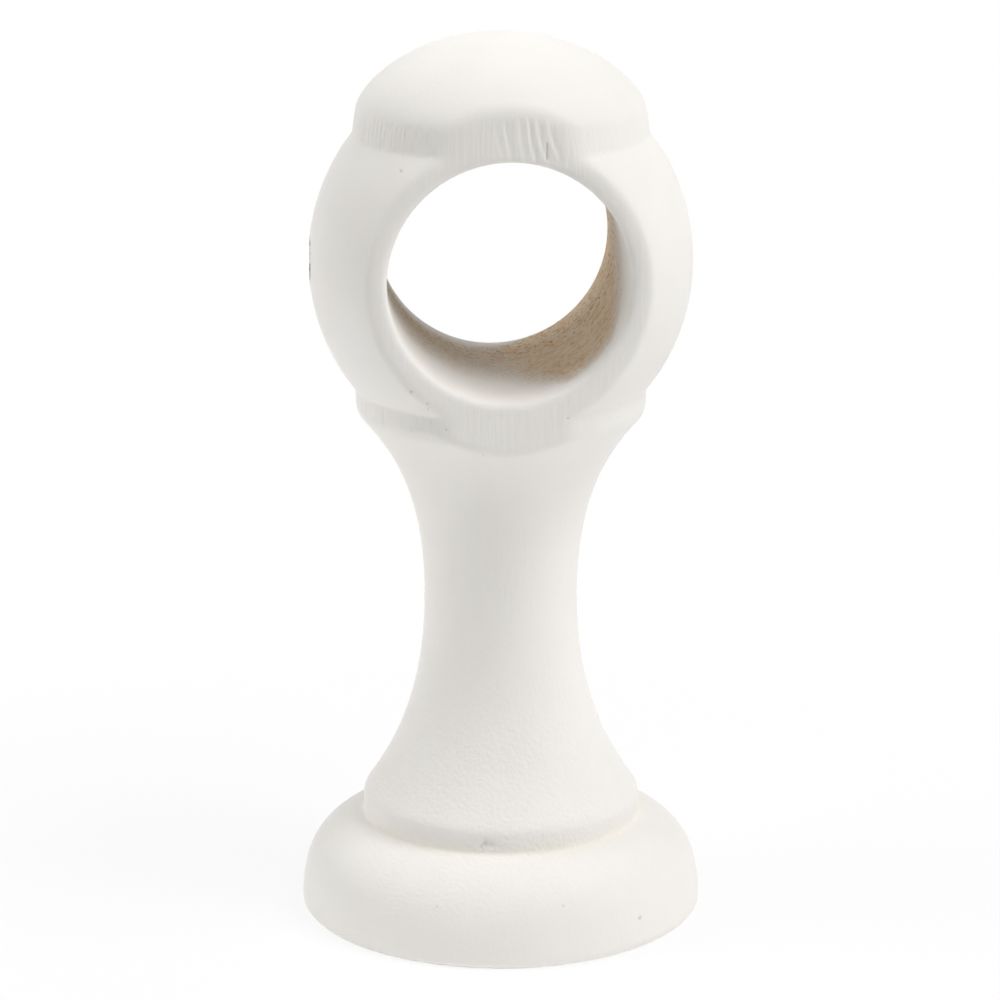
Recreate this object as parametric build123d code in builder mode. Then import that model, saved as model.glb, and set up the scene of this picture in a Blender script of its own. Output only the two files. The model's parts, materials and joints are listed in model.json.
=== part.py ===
"""Turned wooden curtain pole bracket: a round foot, a waisted stem and a drilled ball head with two flats.

Frame: origin at the centre of the foot's underside, +Z up along the turning axis,
pole bore along Y, lock screw hole on the -X side. Millimetres.
"""

import os
from math import sqrt

from build123d import *

os.makedirs("parts", exist_ok=True)

# Pole and its bore
pole_diameter = 28.0
pole_clearance = 2.0
bore_rise = 0.5
bore_mouth_bevel = 0.8

# Ball head around the bore
ball_wall = 9.2
crease_margin = 1.2
face_ring = 2.4
flat_edge_round = 2.0

# Cap over the ball
cap_overhang = 1.8
cap_band_height = 3.3
cap_band_taper = 0.5
dome_height = 9.2
dome_side_pull = 2.6
dome_top_pull = 11.3

# Collar under the ball
collar_overhang = 1.6
collar_height = 2.2
collar_edge_bevel = 1.2

# Waisted stem: how steeply its two curves flare and how far their ends pull
neck_diameter = 19.6
upper_stem_height = 25.4
upper_flare_angle = 41.5
upper_flare_pull = 6.5
upper_neck_pull = 13.4
lower_stem_height = 26.6
lower_flare_angle = 36.5
lower_flare_pull = 8.0
lower_neck_pull = 11.1

# Bead and foot
bead_diameter = 35.7
bead_height = 2.5
bead_edge_bevel = 0.8
foot_diameter = 51.9
foot_height = 12.5
foot_edge_bevel = 0.6
foot_side_pull = 7.5
foot_top_run = 5.2
foot_top_rise = 2.0

# Fixing holes
lock_hole_diameter = 5.6
stud_hole_diameter = 6.0
stud_hole_depth = 30.0

# Radii worked out from the diameters
bore_radius = (pole_diameter + pole_clearance) / 2
ball_radius = bore_radius + ball_wall
neck_radius = neck_diameter / 2
bead_radius = bead_diameter / 2
foot_radius = foot_diameter / 2

# Each flat stands off the turning axis so that a ring of flat is left around the bore,
# and the cap and the collar reach out past the flats
flat_y = sqrt(ball_radius**2 - (bore_radius + face_ring) ** 2)
cap_radius = flat_y + cap_overhang
dome_radius = cap_radius - cap_band_taper
collar_radius = flat_y + collar_overhang

# Heights up the turning axis
bead_z = foot_height
stem_z = bead_z + bead_height
neck_z = stem_z + lower_stem_height
collar_z = neck_z + upper_stem_height
ball_z = collar_z + collar_height
cap_z = ball_z + 2 * (bore_radius + crease_margin)
dome_z = cap_z + cap_band_height
top_z = dome_z + dome_height
ball_middle_z = (ball_z + cap_z) / 2
bore_z = ball_middle_z + bore_rise

# The dome leaves the cap's band in line with the band's taper
dome_side_lean = dome_side_pull * cap_band_taper / cap_band_height


with BuildPart() as bracket:
    # Half profile, from the middle of the underside up to the crown, turned about Z
    with BuildSketch(Plane.XZ):
        with BuildLine():
            Line((0, 0), (foot_radius - foot_edge_bevel, 0))
            Line((foot_radius - foot_edge_bevel, 0), (foot_radius, foot_edge_bevel))
            Bezier(
                (foot_radius, foot_edge_bevel),
                (foot_radius, foot_edge_bevel + foot_side_pull),
                (bead_radius + foot_top_run, bead_z - foot_top_rise),
                (bead_radius, bead_z),
            )
            bead_side = Line((bead_radius, bead_z), (bead_radius, stem_z))
            bead_edge = PolarLine(bead_side @ 1, bead_edge_bevel, 90 + lower_flare_angle / 2)
            Bezier(
                bead_edge @ 1,
                bead_edge @ 1 + Vector(0, lower_flare_pull).rotate(Axis.Z, lower_flare_angle),
                (neck_radius, neck_z - lower_neck_pull),
                (neck_radius, neck_z),
            )
            collar_side = Line((collar_radius, ball_z), (collar_radius, collar_z))
            collar_edge = PolarLine(collar_side @ 1, collar_edge_bevel, 270 - upper_flare_angle / 2)
            Bezier(
                collar_edge @ 1,
                collar_edge @ 1 - Vector(0, upper_flare_pull).rotate(Axis.Z, -upper_flare_angle),
                (neck_radius, neck_z + upper_neck_pull),
                (neck_radius, neck_z),
            )
            ThreePointArc((collar_radius, ball_z), (ball_radius, ball_middle_z), (cap_radius, cap_z))
            Line((cap_radius, cap_z), (dome_radius, dome_z))
            Bezier(
                (dome_radius, dome_z),
                (dome_radius - dome_side_lean, dome_z + dome_side_pull),
                (dome_top_pull, top_z),
                (0, top_z),
            )
            Line((0, top_z), (0, 0))
        make_face()
    revolve(axis=Axis.Z)

    # Two flats across the head, from the neck upwards
    for side in (-1, 1):
        with Locations((0, side * flat_y, neck_z)):
            Box(
                4 * ball_radius,
                2 * ball_radius,
                2 * (top_z - neck_z),
                align=(Align.CENTER, Align.MIN if side > 0 else Align.MAX, Align.MIN),
                mode=Mode.SUBTRACT,
            )

    # Sanded outlines of the flats
    flats = bracket.faces().filter_by(Axis.Y)
    fillet([edge for flat in flats for edge in flat.outer_wire().edges()], flat_edge_round)

    # Pole bore from flat to flat, with eased mouths
    with Locations(Location((0, 0, bore_z), (90, 0, 0))):
        Hole(bore_radius)
    flats = bracket.faces().filter_by(Axis.Y)
    chamfer([edge for flat in flats for wire in flat.inner_wires() for edge in wire.edges()], bore_mouth_bevel)

    # Lock screw hole from the side of the ball into the bore
    with Locations((0, 0, bore_z)):
        Cylinder(
            lock_hole_diameter / 2,
            2 * ball_radius,
            rotation=(0, -90, 0),
            align=(Align.CENTER, Align.CENTER, Align.MIN),
            mode=Mode.SUBTRACT,
        )

    # Blind hole in the underside for the fixing stud
    with BuildSketch(Plane.XY):
        Circle(stud_hole_diameter / 2)
    extrude(amount=stud_hole_depth, mode=Mode.SUBTRACT)

bracket.part.label = "bracket"
export_step(bracket.part, "parts/bracket.step")
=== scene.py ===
"""Turned wooden curtain pole bracket, painted off-white, with bare wood showing in its bore.

The body is one mesh. Its turned profile, flats and holes make a distance field, the field's surface is
meshed, and the mesh then gets the marks of the real piece: torn grain, slits, pinholes, a chip and a
rough bore. Sizes are in millimetres in the part's own frame, and the mesh is scaled to metres at the end.
"""

import json
import math

import bmesh
import bpy
import numpy as np
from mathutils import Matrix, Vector, noise


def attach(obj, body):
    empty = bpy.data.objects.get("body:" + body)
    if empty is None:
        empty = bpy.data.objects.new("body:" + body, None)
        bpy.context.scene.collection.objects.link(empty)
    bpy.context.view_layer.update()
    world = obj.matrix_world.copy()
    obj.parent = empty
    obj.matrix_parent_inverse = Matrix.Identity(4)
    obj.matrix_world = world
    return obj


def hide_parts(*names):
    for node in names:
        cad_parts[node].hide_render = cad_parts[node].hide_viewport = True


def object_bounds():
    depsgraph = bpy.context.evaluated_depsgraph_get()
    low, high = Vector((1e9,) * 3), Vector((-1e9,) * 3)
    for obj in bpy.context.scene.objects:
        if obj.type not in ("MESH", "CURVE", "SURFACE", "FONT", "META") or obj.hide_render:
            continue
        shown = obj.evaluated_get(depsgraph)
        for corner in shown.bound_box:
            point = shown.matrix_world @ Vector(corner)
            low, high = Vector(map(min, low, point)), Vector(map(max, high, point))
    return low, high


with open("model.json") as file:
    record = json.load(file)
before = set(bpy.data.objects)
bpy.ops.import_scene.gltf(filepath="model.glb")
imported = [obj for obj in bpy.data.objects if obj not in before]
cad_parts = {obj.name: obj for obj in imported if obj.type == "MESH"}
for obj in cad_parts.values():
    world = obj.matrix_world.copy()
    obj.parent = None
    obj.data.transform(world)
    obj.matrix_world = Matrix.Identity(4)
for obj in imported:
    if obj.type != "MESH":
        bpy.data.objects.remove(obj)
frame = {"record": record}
cad_low, cad_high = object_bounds()

MM = 0.001
tiny = 1e-6
mounts = {mount["name"]: mount for mount in frame["record"]["mounts"]}

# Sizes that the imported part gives
bore_radius = mounts["pole_bore"]["dims"]["r_mm"]
bore_z = mounts["pole_bore"]["pos_m"][2] / MM
lock_radius = mounts["lock_screw_hole"]["dims"]["r_mm"]
stud_radius = mounts["stud_hole"]["dims"]["r_mm"]
stud_depth = mounts["stud_hole"]["dims"]["length_mm"]
foot_radius = cad_high.x / MM
top_z = cad_high.z / MM

# Turned profile, as in the part's source
ball_wall = 9.2
face_ring = 2.4
ball_radius = bore_radius + ball_wall
flat_y = math.sqrt(ball_radius**2 - (bore_radius + face_ring) ** 2)
foot_edge = 0.6
foot_side_pull = 7.5
foot_top_run = 5.2
foot_top_rise = 2.0
bead_radius = 17.85
bead_z = 12.5
stem_z = 15.0
bead_edge = 0.8
lower_flare = math.radians(36.5)
lower_flare_pull = 8.0
lower_neck_pull = 11.1
neck_radius = 9.8
neck_z = 41.6
upper_flare = math.radians(41.5)
upper_flare_pull = 6.5
upper_neck_pull = 13.4
collar_overhang = 1.6
collar_radius = flat_y + collar_overhang
collar_z = 67.0
collar_edge = 1.2
ball_z = 69.2
cap_z = 101.6
cap_overhang = 1.8
cap_radius = flat_y + cap_overhang
cap_band_taper = 0.5
dome_z = 104.9
dome_radius = cap_radius - cap_band_taper
dome_side_pull = 2.6
dome_top_pull = 11.3

# Softness that sanding and paint give to each edge: a crease is eased over its reach times its softness,
# and the edges of the flats are softer on the dome than on the ball
crease_softness = 0.22
crease_reach = 4
flat_softness_ball = 0.45
flat_softness_dome = 0.85
soften_from_z = cap_z - 4
bore_lip = 0.9
hole_lip = 0.2

# Meshing: the spacing of the profile's points, of the distance table and of the cells, the room around them,
# and how the field's slope is taken
profile_step = 0.12
table_step = 0.15
table_margin = 2.0
table_end = 1.001
cell = 0.6
grid_margin = 1.5 * cell
slope_reach = 0.05
least_slope = 0.2

# Places with a finer mesh: a band along each crease from the neck to the bead, off the flats, and the marks
crease_band = 0.8
crease_inner = neck_radius + 2
crease_outer = bead_radius + 1.2
flat_skin = 0.4
mark_reach = 0.9

# Marks on the front: pinholes and dents (across, height, radius), and upright slits (across, low end,
# high end, width, strength)
pinholes = [
    (-13.2, 99.8, 0.20),
    (-12.2, 72.7, 0.26),
    (-10.2, 71.2, 0.17),
    (-10.1, 70.4, 0.15),
    (-7.9, 67.8, 0.17),
    (-3.3, 64.4, 0.14),
    (7.1, 69.0, 0.20),
    (-3.4, 13.8, 0.22),
    (-1.5, 13.6, 0.17),
    (16.3, 4.2, 0.30),
    (6.2, 7.6, 0.15),
    (-9.7, 7.5, 0.12),
]
slits = [
    (4.4, 101.4, 103.3, 0.17, 0.9),
    (6.6, 8.0, 10.4, 0.12, 0.3),
    (7.9, 8.6, 9.8, 0.12, 0.25),
]
dents = [
    (-3.1, 14.0, 0.45),
    (-2.3, 13.6, 0.30),
    (-3.8, 13.4, 0.28),
]
pinhole_depth = 0.1
dent_depth = 0.45
hole_skin = 0.1

# Patch of torn grain on the front flat: its place and size, and its slanting ridges, which wander and vary
# in strength, each by a noise with its own stretch and start
torn_across = 2.3
torn_height = 103.4
torn_half_width = 5.2
torn_half_height = 3.6
torn_depth = 0.14
torn_pitch = 1.5
torn_slant = 0.16
torn_rise = 0.7
torn_fade = 0.45
torn_wander = 0.8
wander_noise = ((0.4, 0, 0.12), 11.3)
torn_strength = 0.6
torn_strength_swing = 1.2
strength_noise = ((0.5, 0, 0.12), 37.7)

# Bore's wall: rough all over, and torn where the drill went out
wall_skin = 0.2
wall_rough = 0.05
wall_noise = ((0.5, 0.9, 0), 5.1)
torn_wall_y = 9.5
torn_wall_spread = 5.0
torn_wall_rough = 0.12
torn_wall_noise = ((0.7, 1.5, 0), 23.9)

# Slow unevenness from sanding, none on the underside and all of it from a little above
sanding_depth = 0.03
sanding_noise = ((0.11, 0.11, 0.066), 71.2)
sanding_full_z = 2.0

# Paint sprayed into the bore's two ends: which end, the direction in degrees that it missed, up to how many
# degrees from there the wall is missed and from how many it is fully hit, and how deep the paint goes on the
# missed and on the hit side; over the first share of that depth it covers fully
sprays = [
    (-1, -46, 15, 45, 7.0, 32.0),
    (1, 0, 65, 100, 0.3, 8.0),
]
spray_full = 0.35

# Edges of the bare wood at the bore's mouths and in the holes
bare_rim_front = 0.25
bare_rim_back = 0.5
bare_rim_width = 0.25
bare_past_flat = 0.3
bare_stud_skin = 0.15
bare_stud_end = 0.2
lock_skin = 0.12
lock_start = 0.3

# Upright wood fibre that shows through the paint: how strongly on the flats, across the bands from left to
# right and elsewhere, how squarely a flat faces, and the heights where it starts and ends on each band
fibre_on_flats = 0.5
fibre_on_bands = (2.2, 0.4)
fibre_band_x = (-5, 8)
fibre_elsewhere = 0.1
flat_facing = (0.85, 1.0)
fibre_on_cap_z = (cap_z - 0.2, cap_z + 0.4, dome_z - 0.4, dome_z + 0.6)
fibre_on_collar_z = (collar_z - 0.6, collar_z + 0.4, ball_z - 0.4, ball_z + 0.2)

# Orange peel in the paint by height, and the cream crease under the bead
peel_z = (bead_z - 8, bead_z, stem_z + 10, neck_z)
peel_by_z = (0.3, 1.0, 1.0, 0.15)
cream_z = bead_z + 0.3
cream_spread = 0.6
cream_inner = stud_radius + 1


# Turned profile as an outline and a distance table

def bezier(a, b, c, d, count=60):
    """Points along a cubic Bezier curve."""
    t = np.linspace(0.0, 1.0, count)[:, None]
    a, b, c, d = (np.array(point, float) for point in (a, b, c, d))
    return (1 - t) ** 3 * a + 3 * (1 - t) ** 2 * t * b + 3 * (1 - t) * t**2 * c + t**3 * d


def arc_through(a, b, c, count=80):
    """Points along the circle through three points, from the first to the last."""
    a, b, c = (np.array(point, float) for point in (a, b, c))
    sides = 2 * np.array([b - a, c - a])
    centre = np.linalg.solve(sides, [b @ b - a @ a, c @ c - a @ a])
    radius = np.linalg.norm(a - centre)
    start, end = (math.atan2(*(point - centre)[::-1]) for point in (a, c))
    angles = np.linspace(start, end, count)
    return centre + radius * np.column_stack([np.cos(angles), np.sin(angles)])


def turned_profile():
    """The half outline (radius, height) from the middle of the underside to the crown, evenly spaced."""
    half = lower_flare / 2
    bead_top = np.array([bead_radius - bead_edge * math.sin(half), stem_z + bead_edge * math.cos(half)])
    flare_low = bead_top + lower_flare_pull * np.array([-math.sin(lower_flare), math.cos(lower_flare)])
    half = upper_flare / 2
    collar_low = np.array([
        collar_radius - collar_edge * math.sin(half),
        collar_z - collar_edge * math.cos(half),
    ])
    flare_high = collar_low - upper_flare_pull * np.array([math.sin(upper_flare), math.cos(upper_flare)])
    lean = dome_side_pull * (cap_radius - dome_radius) / (dome_z - cap_z)
    outline = np.vstack([
        [(0, 0), (foot_radius - foot_edge, 0)],
        bezier((foot_radius, foot_edge), (foot_radius, foot_edge + foot_side_pull),
               (bead_radius + foot_top_run, bead_z - foot_top_rise), (bead_radius, bead_z)),
        [(bead_radius, stem_z)],
        bezier(bead_top, flare_low, (neck_radius, neck_z - lower_neck_pull), (neck_radius, neck_z)),
        bezier((neck_radius, neck_z), (neck_radius, neck_z + upper_neck_pull), flare_high, collar_low),
        [(collar_radius, collar_z)],
        arc_through((collar_radius, ball_z), (ball_radius, (ball_z + cap_z) / 2), (cap_radius, cap_z)),
        bezier((dome_radius, dome_z), (dome_radius - lean, dome_z + dome_side_pull),
               (dome_top_pull, top_z), (0, top_z)),
    ])
    lengths = np.concatenate([[0], np.cumsum(np.linalg.norm(np.diff(outline, axis=0), axis=1))])
    even = np.linspace(0, lengths[-1], int(lengths[-1] / profile_step))
    return np.column_stack([np.interp(even, lengths, outline[:, axis]) for axis in (0, 1)])


def softened(outline, softness):
    """The outline with every crease and edge eased, its two ends carried on past the axis."""
    reach = int(crease_reach * softness / profile_step)
    offsets = np.arange(-reach, reach + 1) * profile_step
    weights = np.exp(-0.5 * (offsets / softness) ** 2)
    weights /= weights.sum()
    mirror = np.array([-1, 1])
    carried = np.vstack([outline[reach:0:-1] * mirror, outline, outline[-2:-reach - 2:-1] * mirror])
    return np.column_stack([np.convolve(carried[:, axis], weights, mode="valid") for axis in (0, 1)])


def distance_table(outline):
    """Signed distance to the outline on a grid of radius and height, negative inside."""
    radii = np.arange(0, foot_radius + table_margin + table_step, table_step)
    heights = np.arange(-table_margin, top_z + table_margin + table_step, table_step)
    r, z = np.meshgrid(radii, heights, indexing="ij")
    nearest = np.full(r.shape, np.inf)
    for a, b in zip(outline[:-1], outline[1:]):
        run = b - a
        share = np.clip(((r - a[0]) * run[0] + (z - a[1]) * run[1]) / (run @ run), 0, 1)
        gap = (r - a[0] - share * run[0]) ** 2 + (z - a[1] - share * run[1]) ** 2
        np.minimum(nearest, gap, out=nearest)
    side = outline[outline[:, 1] > outline[0, 1] + tiny]
    inside = (r < np.interp(z, side[:, 1], side[:, 0])) & (z > outline[0, 1]) & (z < outline[-1, 1])
    return np.where(inside, -1, 1) * np.sqrt(nearest)


table = distance_table(softened(turned_profile(), crease_softness))


# Distance field of the whole bracket

def turned_distance(x, y, z):
    """Distance to the turned body, read from the table between its nearest four values."""
    r = np.clip(np.hypot(x, y) / table_step, 0, table.shape[0] - table_end)
    h = np.clip((z + table_margin) / table_step, 0, table.shape[1] - table_end)
    i, j = r.astype(int), h.astype(int)
    u, v = r - i, h - j
    low = table[i, j] * (1 - u) + table[i + 1, j] * u
    high = table[i, j + 1] * (1 - u) + table[i + 1, j + 1] * u
    return low * (1 - v) + high * v


def soft_join(a, b, softness):
    """The larger of two distances, with the edge where they meet eased to about that radius."""
    share = np.clip(0.5 + 0.5 * (a - b) / softness, 0, 1)
    return b + (a - b) * share + softness * share * (1 - share)


def field(x, y, z):
    """Signed distance to the bracket: the turned body less its flats, bore and holes."""
    body = turned_distance(x, y, z)
    softness = np.interp(z, (soften_from_z, dome_z), (flat_softness_ball, flat_softness_dome))
    with_flats = soft_join(body, np.abs(y) - flat_y, softness)
    body = np.where(z > neck_z, with_flats, body)
    body = soft_join(body, bore_radius - np.hypot(x, z - bore_z), bore_lip)
    lock = np.minimum(lock_radius - np.hypot(y, z - bore_z), -x)
    body = soft_join(body, lock, hole_lip)
    stud = np.minimum(stud_radius - np.hypot(x, y), stud_depth - z)
    return soft_join(body, stud, hole_lip)


def field_slope(points):
    """Outward direction of the field at each point."""
    slope = np.empty_like(points)
    for axis in range(3):
        step = np.zeros(3)
        step[axis] = slope_reach
        slope[:, axis] = (field(*(points + step).T) - field(*(points - step).T)) / (2 * slope_reach)
    return slope


def settled(points, rounds=3):
    """The points moved onto the field's surface."""
    for _ in range(rounds):
        slope = field_slope(points)
        strength = np.maximum((slope**2).sum(axis=1), least_slope)
        points = points - slope * (field(*points.T) / strength)[:, None]
    return points


# Meshing

def surface_net(values, origin):
    """Vertices and faces of the grid's zero surface, with one vertex in each cell that it crosses."""
    strides = np.array([values.shape[1] * values.shape[2], values.shape[2], 1])
    places = []
    corners = []
    for axis in range(3):
        order = [axis, (axis + 1) % 3, (axis + 2) % 3]
        turned = values.transpose(order)
        near, far = turned[:-1], turned[1:]
        edges = np.argwhere((near < 0) != (far < 0))
        index = tuple(edges.T)
        start, end = near[index], far[index]
        place = edges.astype(float)
        place[:, 0] += start / (start - end)
        places.append(place[:, np.argsort(order)])
        first = edges @ strides[order]
        side, up = strides[order[1]], strides[order[2]]
        around = np.column_stack([first - side - up, first - up, first, first - side])
        around[start > 0] = around[start > 0, ::-1]
        corners.append(around)
    corners = np.vstack(corners)
    faces = np.unique(corners, return_inverse=True)[1].reshape(corners.shape)
    share = np.bincount(faces.ravel())
    spread = np.repeat(np.vstack(places), 4, axis=0)
    sums = [np.bincount(faces.ravel(), weights=spread[:, axis]) for axis in range(3)]
    return np.column_stack(sums) / share[:, None] * cell + origin, faces


def evened(points, faces, rounds=3):
    """The vertices slid along the surface towards the middle of their neighbours."""
    edges = np.vstack([faces[:, [k, (k + 1) % 4]] for k in range(4)])
    share = np.bincount(edges[:, 0], minlength=len(points))
    for _ in range(rounds):
        sums = [np.bincount(edges[:, 0], weights=points[edges[:, 1], axis]) for axis in range(3)]
        points = settled(0.5 * points + 0.5 * np.column_stack(sums) / share[:, None], rounds=1)
    return settled(points)


def plain_bracket():
    """The bracket's vertices in millimetres and its four-sided faces, before its marks."""
    low = np.array([-foot_radius, -foot_radius, 0]) - grid_margin
    high = np.array([foot_radius, foot_radius, top_z]) + grid_margin
    axes = [np.arange(a, b + cell, cell) for a, b in zip(low, high)]
    values = field(*np.meshgrid(*axes, indexing="ij"))
    points, faces = surface_net(values, low)
    return evened(settled(points), faces), faces


def refined(mesh, wanted, rounds):
    """The mesh with the edges in the wanted places halved, round after round."""
    builder = bmesh.new()
    builder.from_mesh(mesh)
    for _ in range(rounds):
        builder.verts.ensure_lookup_table()
        places = np.array([vert.co for vert in builder.verts]) / MM
        near = wanted(places)
        builder.verts.index_update()
        edges = [edge for edge in builder.edges if near[edge.verts[0].index] and near[edge.verts[1].index]]
        bmesh.ops.subdivide_edges(builder, edges=edges, cuts=1, use_grid_fill=True)
    builder.to_mesh(mesh)
    builder.free()


# Marks of the real piece

def on_outside(points):
    """True where a point is on the outer surface and not in the bore or the stud hole."""
    x, y, z = points.T
    in_bore = np.hypot(x, z - bore_z) < bore_radius + hole_skin
    in_stud = (np.hypot(x, y) < stud_radius + hole_skin) & (z < stud_depth + hole_skin)
    return ~(in_bore | in_stud)


def pinhole_share(points):
    """1 in the middle of each pinhole and slit, falling to 0 at its edge, on the front only."""
    x, y, z = points.T
    share = np.zeros(len(points))
    for across, height, radius in pinholes:
        share = np.maximum(share, np.exp(-((x - across) ** 2 + (z - height) ** 2) / radius**2))
    for across, low, high, width, strength in slits:
        past_ends = np.maximum(np.maximum(low - z, z - high), 0)
        share = np.maximum(share, strength * np.exp(-((x - across) ** 2 + past_ends**2) / width**2))
    return np.where((y < 0) & on_outside(points), share, 0)


def near_marks(points):
    """True close to the lock screw hole's rim and to the front's pinholes, slits, dents and torn grain."""
    x, y, z = points.T
    near = (np.abs(x - torn_across) < torn_half_width) & (np.abs(z - torn_height) < torn_half_height)
    for across, height, _ in pinholes + dents:
        near |= np.hypot(x - across, z - height) < mark_reach
    for across, low, high, _, _ in slits:
        near |= (np.abs(x - across) < mark_reach) & (z > low - mark_reach) & (z < high + mark_reach)
    lock_rim = (np.abs(np.hypot(y, z - bore_z) - lock_radius) < mark_reach) & (x < -bore_radius)
    return (near & (y < 0) & on_outside(points)) | lock_rim


def near_creases(points):
    """True close to the turned creases and edges, away from the flats."""
    x, y, z = points.T
    near = np.zeros(len(points), bool)
    for height in (bead_z, stem_z, collar_z, ball_z, cap_z, dome_z):
        near |= np.abs(z - height) < crease_band
    on_flat = (z > neck_z) & (np.abs(y) > flat_y - flat_skin)
    radius = np.hypot(x, y)
    return near & ~on_flat & (radius > crease_inner) & (radius < crease_outer)


def grain_noise(places, stretch, start):
    """Smooth noise between about -1 and 1 at each place, stretched along the axes from its own start."""
    stretched = places * np.array(stretch) + np.array([start, 0, 0])
    return np.array([noise.noise(Vector(place)) for place in stretched])


def torn_grain(points):
    """Height of the torn, rippled grain on the front flat above the bore, 0 or less."""
    x, y, z = points.T
    height = np.zeros(len(points))
    inside = np.hypot((x - torn_across) / torn_half_width, (z - torn_height) / torn_half_height)
    patch = (inside < 1) & (y < 0) & on_outside(points)
    course = (x[patch] + torn_slant * z[patch]) / torn_pitch
    course += torn_wander * grain_noise(points[patch], *wander_noise)
    along = course - np.floor(course)
    ridge = np.minimum(along / torn_rise, (1 - along) / (1 - torn_rise))
    varied = torn_strength + torn_strength_swing * grain_noise(points[patch], *strength_noise)
    fade = np.clip((1 - inside[patch]) / torn_fade, 0, 1)
    height[patch] = torn_depth * fade * np.clip(varied, 0, 1) * (ridge - 1)
    return height


def torn_wall(points):
    """How torn the bore's wall is, from 0 to 1."""
    return np.exp(-(((points[:, 1] - torn_wall_y) / torn_wall_spread) ** 2))


def bore_roughness(points):
    """Height of the rough drilled wall inside the bore."""
    x, y, z = points.T
    rough = np.zeros(len(points))
    inside = (np.hypot(x, z - bore_z) < bore_radius + wall_skin) & (np.abs(y) < flat_y - bore_lip)
    around = np.arctan2(z[inside] - bore_z, x[inside]) * bore_radius
    wall = np.column_stack([around, y[inside], np.zeros(len(around))])
    rough[inside] = wall_rough * grain_noise(wall, *wall_noise)
    rough[inside] += torn_wall_rough * torn_wall(points)[inside] * grain_noise(wall, *torn_wall_noise)
    return rough


def hand_sanding(points):
    """Height of the slow unevenness that sanding leaves on the whole piece."""
    fade = np.clip(points[:, 2] / sanding_full_z, 0, 1)
    return sanding_depth * fade * grain_noise(points, *sanding_noise)


def marked(points):
    """The points with the marks pressed into the surface along its slope."""
    slope = field_slope(points)
    slope /= np.maximum(np.linalg.norm(slope, axis=1), tiny)[:, None]
    x, y, z = points.T
    dent = sum(np.exp(-((x - across) ** 2 + (z - height) ** 2) / r**2) for across, height, r in dents)
    lift = np.where((y < 0) & on_outside(points), -dent_depth * dent, 0)
    lift += torn_grain(points) + bore_roughness(points) + hand_sanding(points)
    lift -= pinhole_depth * pinhole_share(points)
    return points + slope * lift[:, None]


# Shares that the material reads at each vertex

def fibre_share(points):
    """How strongly upright wood fibre shows through the paint, on the bands most to the left."""
    x, _, z = points.T
    on_flat = np.interp(np.abs(field_slope(points)[:, 1]), flat_facing, (0, 1)) * (z > neck_z)
    on_cap = np.interp(z, fibre_on_cap_z, (0, 1, 1, 0))
    on_collar = np.interp(z, fibre_on_collar_z, (0, 1, 1, 0))
    on_bands = (on_cap + on_collar) * np.interp(x, fibre_band_x, fibre_on_bands)
    return np.maximum(fibre_elsewhere, fibre_on_flats * on_flat + on_bands * (1 - on_flat))


def peel_share(points):
    """How strongly the paint's orange peel shows: most on the lower stem and the bead."""
    return np.interp(points[:, 2], peel_z, peel_by_z)


def cream_share(points):
    """How much the paint has run and yellowed in the crease under the bead."""
    x, y, z = points.T
    return np.exp(-(((z - cream_z) / cream_spread) ** 2)) * (np.hypot(x, y) > cream_inner)


def lock_hole_bare_and_shade(points):
    """1 in the lock screw hole and 0 elsewhere; the material paints the hole's bare wood dark there as
    painted shade.
    """
    x, y, z = points.T
    inside = (np.hypot(y, z - bore_z) < lock_radius + lock_skin) & (x < -bore_radius - lock_start)
    return inside.astype(float)


def sprayed_share(points):
    """How much of the bore's wall the sprayed paint covers, all near the mouths and less further in."""
    x, y, z = points.T
    angle = np.degrees(np.arctan2(z - bore_z, x))
    cover = np.zeros(len(points))
    for mouth, missed, near, far, shallow, deep in sprays:
        depth = flat_y - mouth * y
        away = np.abs((angle - missed + 180) % 360 - 180)
        hit = np.clip((away - near) / (far - near), 0, 1)
        end = shallow + (deep - shallow) * hit
        cover = np.maximum(cover, np.clip((1 - depth / end) / (1 - spray_full), 0, 1))
    return cover


def bare_share(points):
    """1 where the wood is bare, in the bore and the holes, and 0 on the paint."""
    x, y, z = points.T
    rim = np.where(y > 0, bare_rim_back, bare_rim_front)
    in_bore = np.clip((bore_radius + rim - np.hypot(x, z - bore_z)) / bare_rim_width, 0, 1)
    in_bore *= np.abs(y) < flat_y + bare_past_flat
    in_stud = np.hypot(x, y) < stud_radius + bare_stud_skin
    in_stud &= (z > bare_stud_skin) & (z < stud_depth + bare_stud_end)
    in_holes = np.maximum(in_stud, lock_hole_bare_and_shade(points))
    return np.maximum(in_bore * (1 - sprayed_share(points)), in_holes)


shares = {
    "bare": bare_share,
    "pinhole": pinhole_share,
    "torn": torn_wall,
    "peel": peel_share,
    "fibre": fibre_share,
    "cream": cream_share,
    "lock": lock_hole_bare_and_shade,
}


def make_bracket():
    """The finished bracket as one mesh object."""
    points, faces = plain_bracket()
    mesh = bpy.data.meshes.new("painted_bracket")
    mesh.from_pydata((points * MM).tolist(), [], faces.tolist())
    refined(mesh, near_creases, rounds=1)
    refined(mesh, near_marks, rounds=2)
    flat = np.empty(3 * len(mesh.vertices), np.float32)
    mesh.vertices.foreach_get("co", flat)
    plain = settled(flat.reshape(-1, 3).astype(float) / MM)
    mesh.vertices.foreach_set("co", (marked(plain) * MM).astype(np.float32).ravel())
    for name, share in shares.items():
        layer = mesh.attributes.new(name, "FLOAT", "POINT")
        layer.data.foreach_set("value", share(plain).astype(np.float32))
    mesh.update()
    mesh.shade_smooth()
    piece = bpy.data.objects.new("painted_bracket", mesh)
    bpy.context.scene.collection.objects.link(piece)
    return piece


# Materials

def new_material(name):
    """An empty material with nodes."""
    material = bpy.data.materials.new(name)
    material.use_nodes = True
    return material


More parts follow.
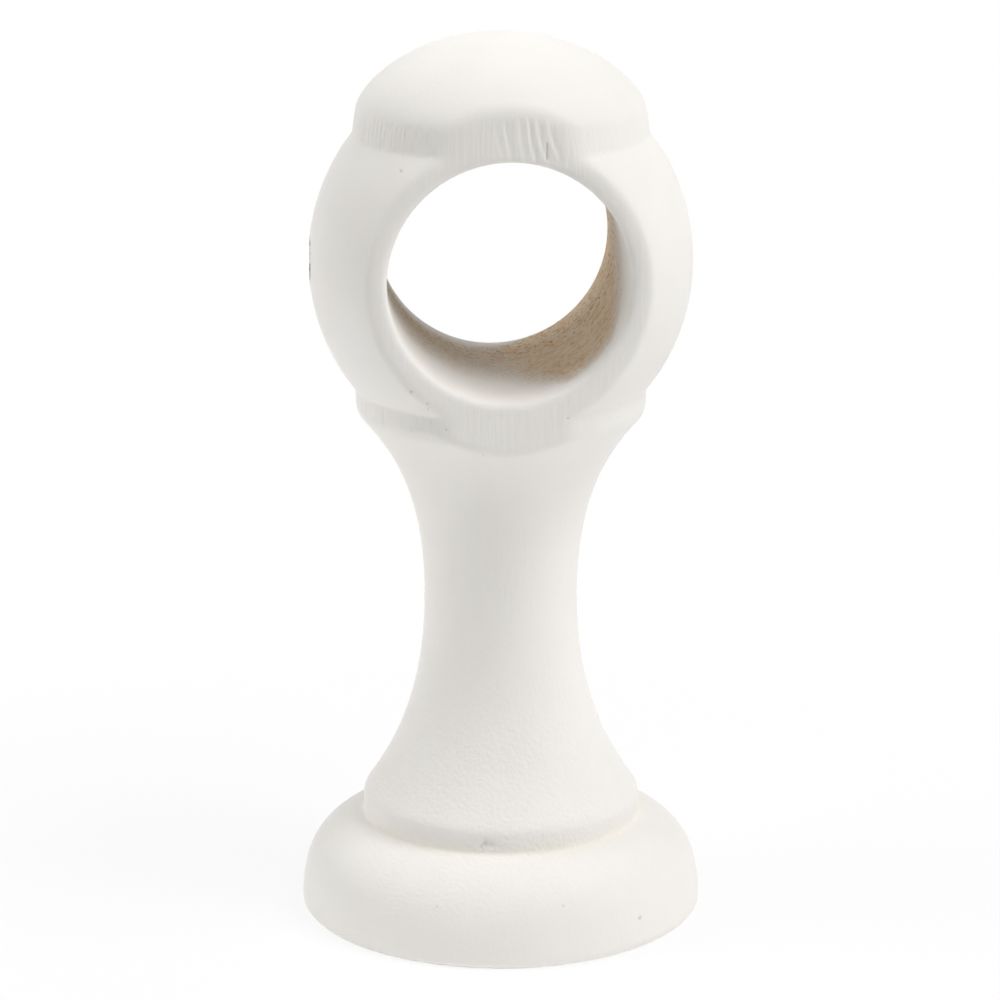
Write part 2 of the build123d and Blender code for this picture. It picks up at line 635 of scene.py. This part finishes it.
class Nodes:
    """The node tree of a material or world, with short ways to add the nodes that are used here."""

    def __init__(self, owner):
        self.tree = owner.node_tree
        self.shader = self.tree.nodes.get("Principled BSDF")
        self.output = self.tree.nodes.get("Material Output")

    def link(self, output, socket):
        """Joins a node's output to another node's input."""
        self.tree.links.new(output, socket)

    def add(self, kind, inputs=(), **settings):
        """A new node with its settings, and its inputs set or linked by name or number."""
        node = self.tree.nodes.new("ShaderNode" + kind)
        for name, value in settings.items():
            setattr(node, name, value)
        for name, value in dict(inputs).items():
            if isinstance(value, bpy.types.NodeSocket):
                self.link(value, node.inputs[name])
            else:
                node.inputs[name].default_value = value
        return node

    def attribute(self, name):
        """The share of that name that the mesh keeps at each vertex."""
        return self.add("Attribute", attribute_name=name).outputs["Fac"]

    def math(self, operation, *values, held=True):
        """Arithmetic on values, held between 0 and 1 unless told otherwise."""
        return self.add("Math", enumerate(values), operation=operation, use_clamp=held).outputs[0]

    def noise(self, stretch, scale, detail):
        """Noise in millimetres of the part's frame, stretched by the three factors."""
        place = self.add("TexCoord").outputs["Object"]
        sized = self.add("Mapping", {"Vector": place, "Scale": [scale / MM * s for s in stretch]}).outputs[0]
        texture = self.add("TexNoise", {"Vector": sized, "Scale": 1.0, "Detail": detail})
        return texture.outputs["Fac"]

    def ramp(self, value, stops):
        """A colour ramp of (position, colour) stops."""
        node = self.add("ValToRGB", {"Fac": value})
        elements = node.color_ramp.elements
        while len(elements) < len(stops):
            elements.new(1.0)
        for element, (position, colour) in zip(elements, stops):
            element.position = position
            element.color = (*colour, 1)
        return node.outputs["Color"]

    def span(self, value, low, high, to_low=0.0, to_high=1.0):
        """A value carried from one span to another and held at its ends."""
        inputs = {0: value, 1: low, 2: high, 3: to_low, 4: to_high}
        return self.add("MapRange", inputs).outputs[0]

    def mix(self, share, a, b):
        """A colour between two colours."""
        node = self.add("Mix", data_type="RGBA")
        sockets = [s for s in node.inputs if s.enabled]
        for socket, value in zip(sockets, (share, a, b)):
            if isinstance(value, bpy.types.NodeSocket):
                self.link(value, socket)
            else:
                socket.default_value = (*value, 1)
        return next(s for s in node.outputs if s.enabled)

    def bump(self, height, depth, strength=1.0, **under):
        """Relief of a depth in millimetres, over the relief given as Normal."""
        inputs = {"Strength": strength, "Distance": depth * MM, "Height": height, **under}
        return self.add("Bump", inputs).outputs[0]

    def seen_directly(self):
        """1 for the camera's rays and for reflected and transmitted ones, 0 for the rest."""
        path = self.add("LightPath").outputs
        seen = self.math("MAXIMUM", path["Is Camera Ray"], path["Is Glossy Ray"])
        return self.math("MAXIMUM", seen, path["Is Transmission Ray"])


# Colours, in linear light
paint_white = (0.855, 0.834, 0.80)
paint_patch = (0.8415, 0.817, 0.7775)
paint_cream = (0.865, 0.835, 0.765)
# Grey of the pinholes and slits, partly painted shade inside them
pinhole_grey = (0.66, 0.64, 0.57)
# Dark wood of the flecks, also used as painted shade in the lock screw hole
wood_dark = (0.24, 0.155, 0.085)
wood_pale = (0.87, 0.81, 0.70)
wood_grey = (0.82, 0.74, 0.61)
wood_tan = (0.86, 0.71, 0.53)
wood_brown = (0.80, 0.60, 0.405)
wood_red = (0.76, 0.51, 0.30)
wood_stops = [(0.32, wood_grey), (0.46, wood_tan), (0.60, wood_brown), (0.72, wood_red)]

# Patterns of the painted wood, each as its stretch, its scale per millimetre and its detail
patch_pattern = ((1, 1, 0.5), 0.12, 3.0)
wood_pattern = ((1, 1.3, 1), 0.6, 6.0)
fleck_pattern = ((1, 1.5, 1), 1.9, 6.0)
edge_pattern = ((1, 1.5, 1), 2.2, 4.0)
fibre_pattern = ((1, 1, 0.08), 1.7, 5.0)
peel_pattern = ((1, 1, 1), 1.9, 2.0)

# Values between which each pattern or share begins to show and shows in full
patch_span = (0.35, 0.7)
pinhole_span = (0.35, 0.75)
dark_fleck_span = (0.44, 0.34)
pale_fleck_span = (0.54, 0.64)
edge_span = (0.35, 0.65)
fibre_span = (0.3, 0.7)

# Strength of the flecks on sound and on torn wood, of the speckled edge and of the fibre lines
fleck_strength = (0.4, 0.9)
edge_strength = 2.0
fibre_strength = 0.5

# Gloss, and the depth of the relief in millimetres
paint_roughness = 0.46
wood_roughness = 0.85
wood_specular = 0.1
fibre_depth = 0.07
peel_depth = 0.13
splinter_depth = 0.3
splinter_strength = 0.8


def painted_wood():
    """Satin paint over sanded wood, worn through to bare wood where the mesh says so."""
    material = new_material("painted_wood")
    nodes = Nodes(material)
    shader = nodes.shader

    # Paint: nearly even white with thinner patches and a cream crease; the grey in the pinholes and slits is
    # partly painted shade in these small hollows
    patches = nodes.span(nodes.noise(*patch_pattern), *patch_span)
    paint = nodes.mix(patches, paint_white, paint_patch)
    paint = nodes.mix(nodes.attribute("cream"), paint, paint_cream)
    pinholes_seen = nodes.span(nodes.attribute("pinhole"), *pinhole_span)
    paint = nodes.mix(pinholes_seen, paint, pinhole_grey)

    # Bare wood: mottled tan and brown, with short dark and pale flecks, most where the wall is torn
    wood = nodes.ramp(nodes.noise(*wood_pattern), wood_stops)
    flecks = nodes.noise(*fleck_pattern)
    torn = nodes.span(nodes.attribute("torn"), 0, 1, *fleck_strength)
    dark = nodes.math("MULTIPLY", nodes.span(flecks, *dark_fleck_span), torn)
    wood = nodes.mix(dark, wood, wood_dark)
    pale = nodes.math("MULTIPLY", nodes.span(flecks, *pale_fleck_span), torn)
    wood = nodes.mix(pale, wood, wood_pale)
    # Painted shade: the whole lock screw hole is coloured dark wood for the shade inside it
    wood = nodes.mix(nodes.attribute("lock"), wood, wood_dark)

    # Paint gives way to wood in a speckled edge
    share = nodes.attribute("bare")
    edge = nodes.math("MULTIPLY", share, nodes.math("SUBTRACT", 1.0, share))
    grains = nodes.span(nodes.noise(*edge_pattern), *edge_span, -edge_strength, edge_strength)
    bare = nodes.math("MULTIPLY_ADD", grains, edge, share)
    nodes.link(nodes.mix(bare, paint, wood), shader.inputs["Base Color"])

    roughness = nodes.span(bare, 0, 1, paint_roughness, wood_roughness)
    nodes.link(roughness, shader.inputs["Roughness"])
    shader.inputs["Specular IOR Level"].default_value = wood_specular

    # Relief: upright fibre lines, orange peel low down, and the rough bare wood
    lines = nodes.span(nodes.noise(*fibre_pattern), *fibre_span, -fibre_strength, fibre_strength)
    fibres = nodes.math("MULTIPLY", lines, nodes.attribute("fibre"), held=False)
    peel = nodes.math("MULTIPLY", nodes.noise(*peel_pattern), nodes.attribute("peel"))
    splinters = nodes.math("MULTIPLY", flecks, bare)
    relief = nodes.bump(fibres, fibre_depth)
    relief = nodes.bump(peel, peel_depth, Normal=relief)
    relief = nodes.bump(splinters, splinter_depth, splinter_strength, Normal=relief)
    nodes.link(relief, shader.inputs["Normal"])
    return material


# Floor's own shade, and the share of it that shows near the foot and fades out further off, in metres
floor_grey = (0.9, 0.9, 0.9)
shadow_share = 0.15
shadow_near = 0.04
shadow_far = 0.14


def floor_white():
    """White to the camera and in reflections, with a faint share of the shaded floor kept for the shadow."""
    material = new_material("floor_white")
    nodes = Nodes(material)
    nodes.shader.inputs["Base Color"].default_value = (*floor_grey, 1)
    nodes.shader.inputs["Roughness"].default_value = 1.0
    nodes.shader.inputs["Specular IOR Level"].default_value = 0.0
    white = nodes.add("Emission", {"Strength": 1.0})
    away = nodes.add("VectorMath", {0: nodes.add("TexCoord").outputs["Object"]}, operation="LENGTH")
    plain = nodes.span(away.outputs["Value"], shadow_near, shadow_far, 1 - shadow_share, 1.0)
    share = nodes.math("MULTIPLY", nodes.seen_directly(), plain)
    mix = nodes.add("MixShader", {0: share, 1: nodes.shader.outputs[0], 2: white.outputs[0]})
    nodes.link(mix.outputs[0], nodes.output.inputs["Surface"])
    return material


bracket = make_bracket()
bracket.data.materials.append(painted_wood())
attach(bracket, "root")
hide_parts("bracket")


# Floor

floor_half = 2.0
corners = [(floor_half * x, floor_half * y, 0) for x, y in ((-1, -1), (1, -1), (1, 1), (-1, 1))]
floor_mesh = bpy.data.meshes.new("floor")
floor_mesh.from_pydata(corners, [], [(0, 1, 2, 3)])
floor_mesh.materials.append(floor_white())
floor = bpy.data.objects.new("floor", floor_mesh)
bpy.context.scene.collection.objects.link(floor)


# Light

world_level = 0.15
world = bpy.data.worlds.new("studio")
world.use_nodes = True
bpy.context.scene.world = world
nodes = Nodes(world)
studio = nodes.add("Background", {"Color": (1, 1, 1, 1), "Strength": world_level})
white = nodes.add("Background", {"Color": (1, 1, 1, 1), "Strength": 1.0})
mix = nodes.add("MixShader", {0: nodes.seen_directly(), 1: studio.outputs[0], 2: white.outputs[0]})
nodes.link(mix.outputs[0], nodes.tree.nodes["World Output"].inputs["Surface"])

# Lamps, each as its degrees round from the front, its degrees above and its watts
lamps = {
    "right_front": (60, 50, 4.65),
    "right_high": (90, 65, 0.95),
    "left": (270, 40, 2.85),
    "back": (215, 32, 0.85),
}
lamp_reach = 0.8
lamp_size = 0.56

# Light that the white surface gives back close around the foot
bounce_height = 0.05 * MM
bounce_size = 0.3
bounce_power = 0.047


def soft_lamp(name, place, away, size, power):
    """A round soft lamp at a place, shining opposite to the direction given."""
    data = bpy.data.lights.new(name, "AREA")
    data.shape = "DISK"
    data.size = size
    data.energy = power
    lamp = bpy.data.objects.new(name, data)
    lamp.location = place
    lamp.rotation_euler = away.to_track_quat("Z", "Y").to_euler()
    lamp.visible_camera = False
    bpy.context.scene.collection.objects.link(lamp)


middle = Vector((0, 0, top_z * MM / 2))
for name, (azimuth, elevation, power) in lamps.items():
    a, e = math.radians(azimuth), math.radians(elevation)
    away = Vector((math.sin(a) * math.cos(e), -math.cos(a) * math.cos(e), math.sin(e)))
    soft_lamp(name, middle + away * lamp_reach, away, lamp_size, power)
soft_lamp("bounce", Vector((0, 0, bounce_height)), Vector((0, 0, -1)), bounce_size, bounce_power)
bpy.context.scene.view_settings.view_transform = "Standard"


# Camera

camera_turn = math.radians(-4.015)
camera_tilt = math.radians(15.677)
camera_reach = 493.39
camera_height = 192.51
camera_slide = -0.1
camera_lens = 144.17
camera_sensor = 36.0

data = bpy.data.cameras.new("camera")
data.lens = camera_lens
data.sensor_width = camera_sensor
camera = bpy.data.objects.new("camera", data)
right = Vector((math.cos(camera_turn), math.sin(camera_turn), 0))
back = Vector((math.sin(camera_turn), -math.cos(camera_turn), 0))
camera.location = (camera_reach * back + camera_slide * right + Vector((0, 0, camera_height))) * MM
camera.rotation_euler = (math.pi / 2 - camera_tilt, 0, camera_turn)
bpy.context.scene.collection.objects.link(camera)
bpy.context.scene.camera = camera
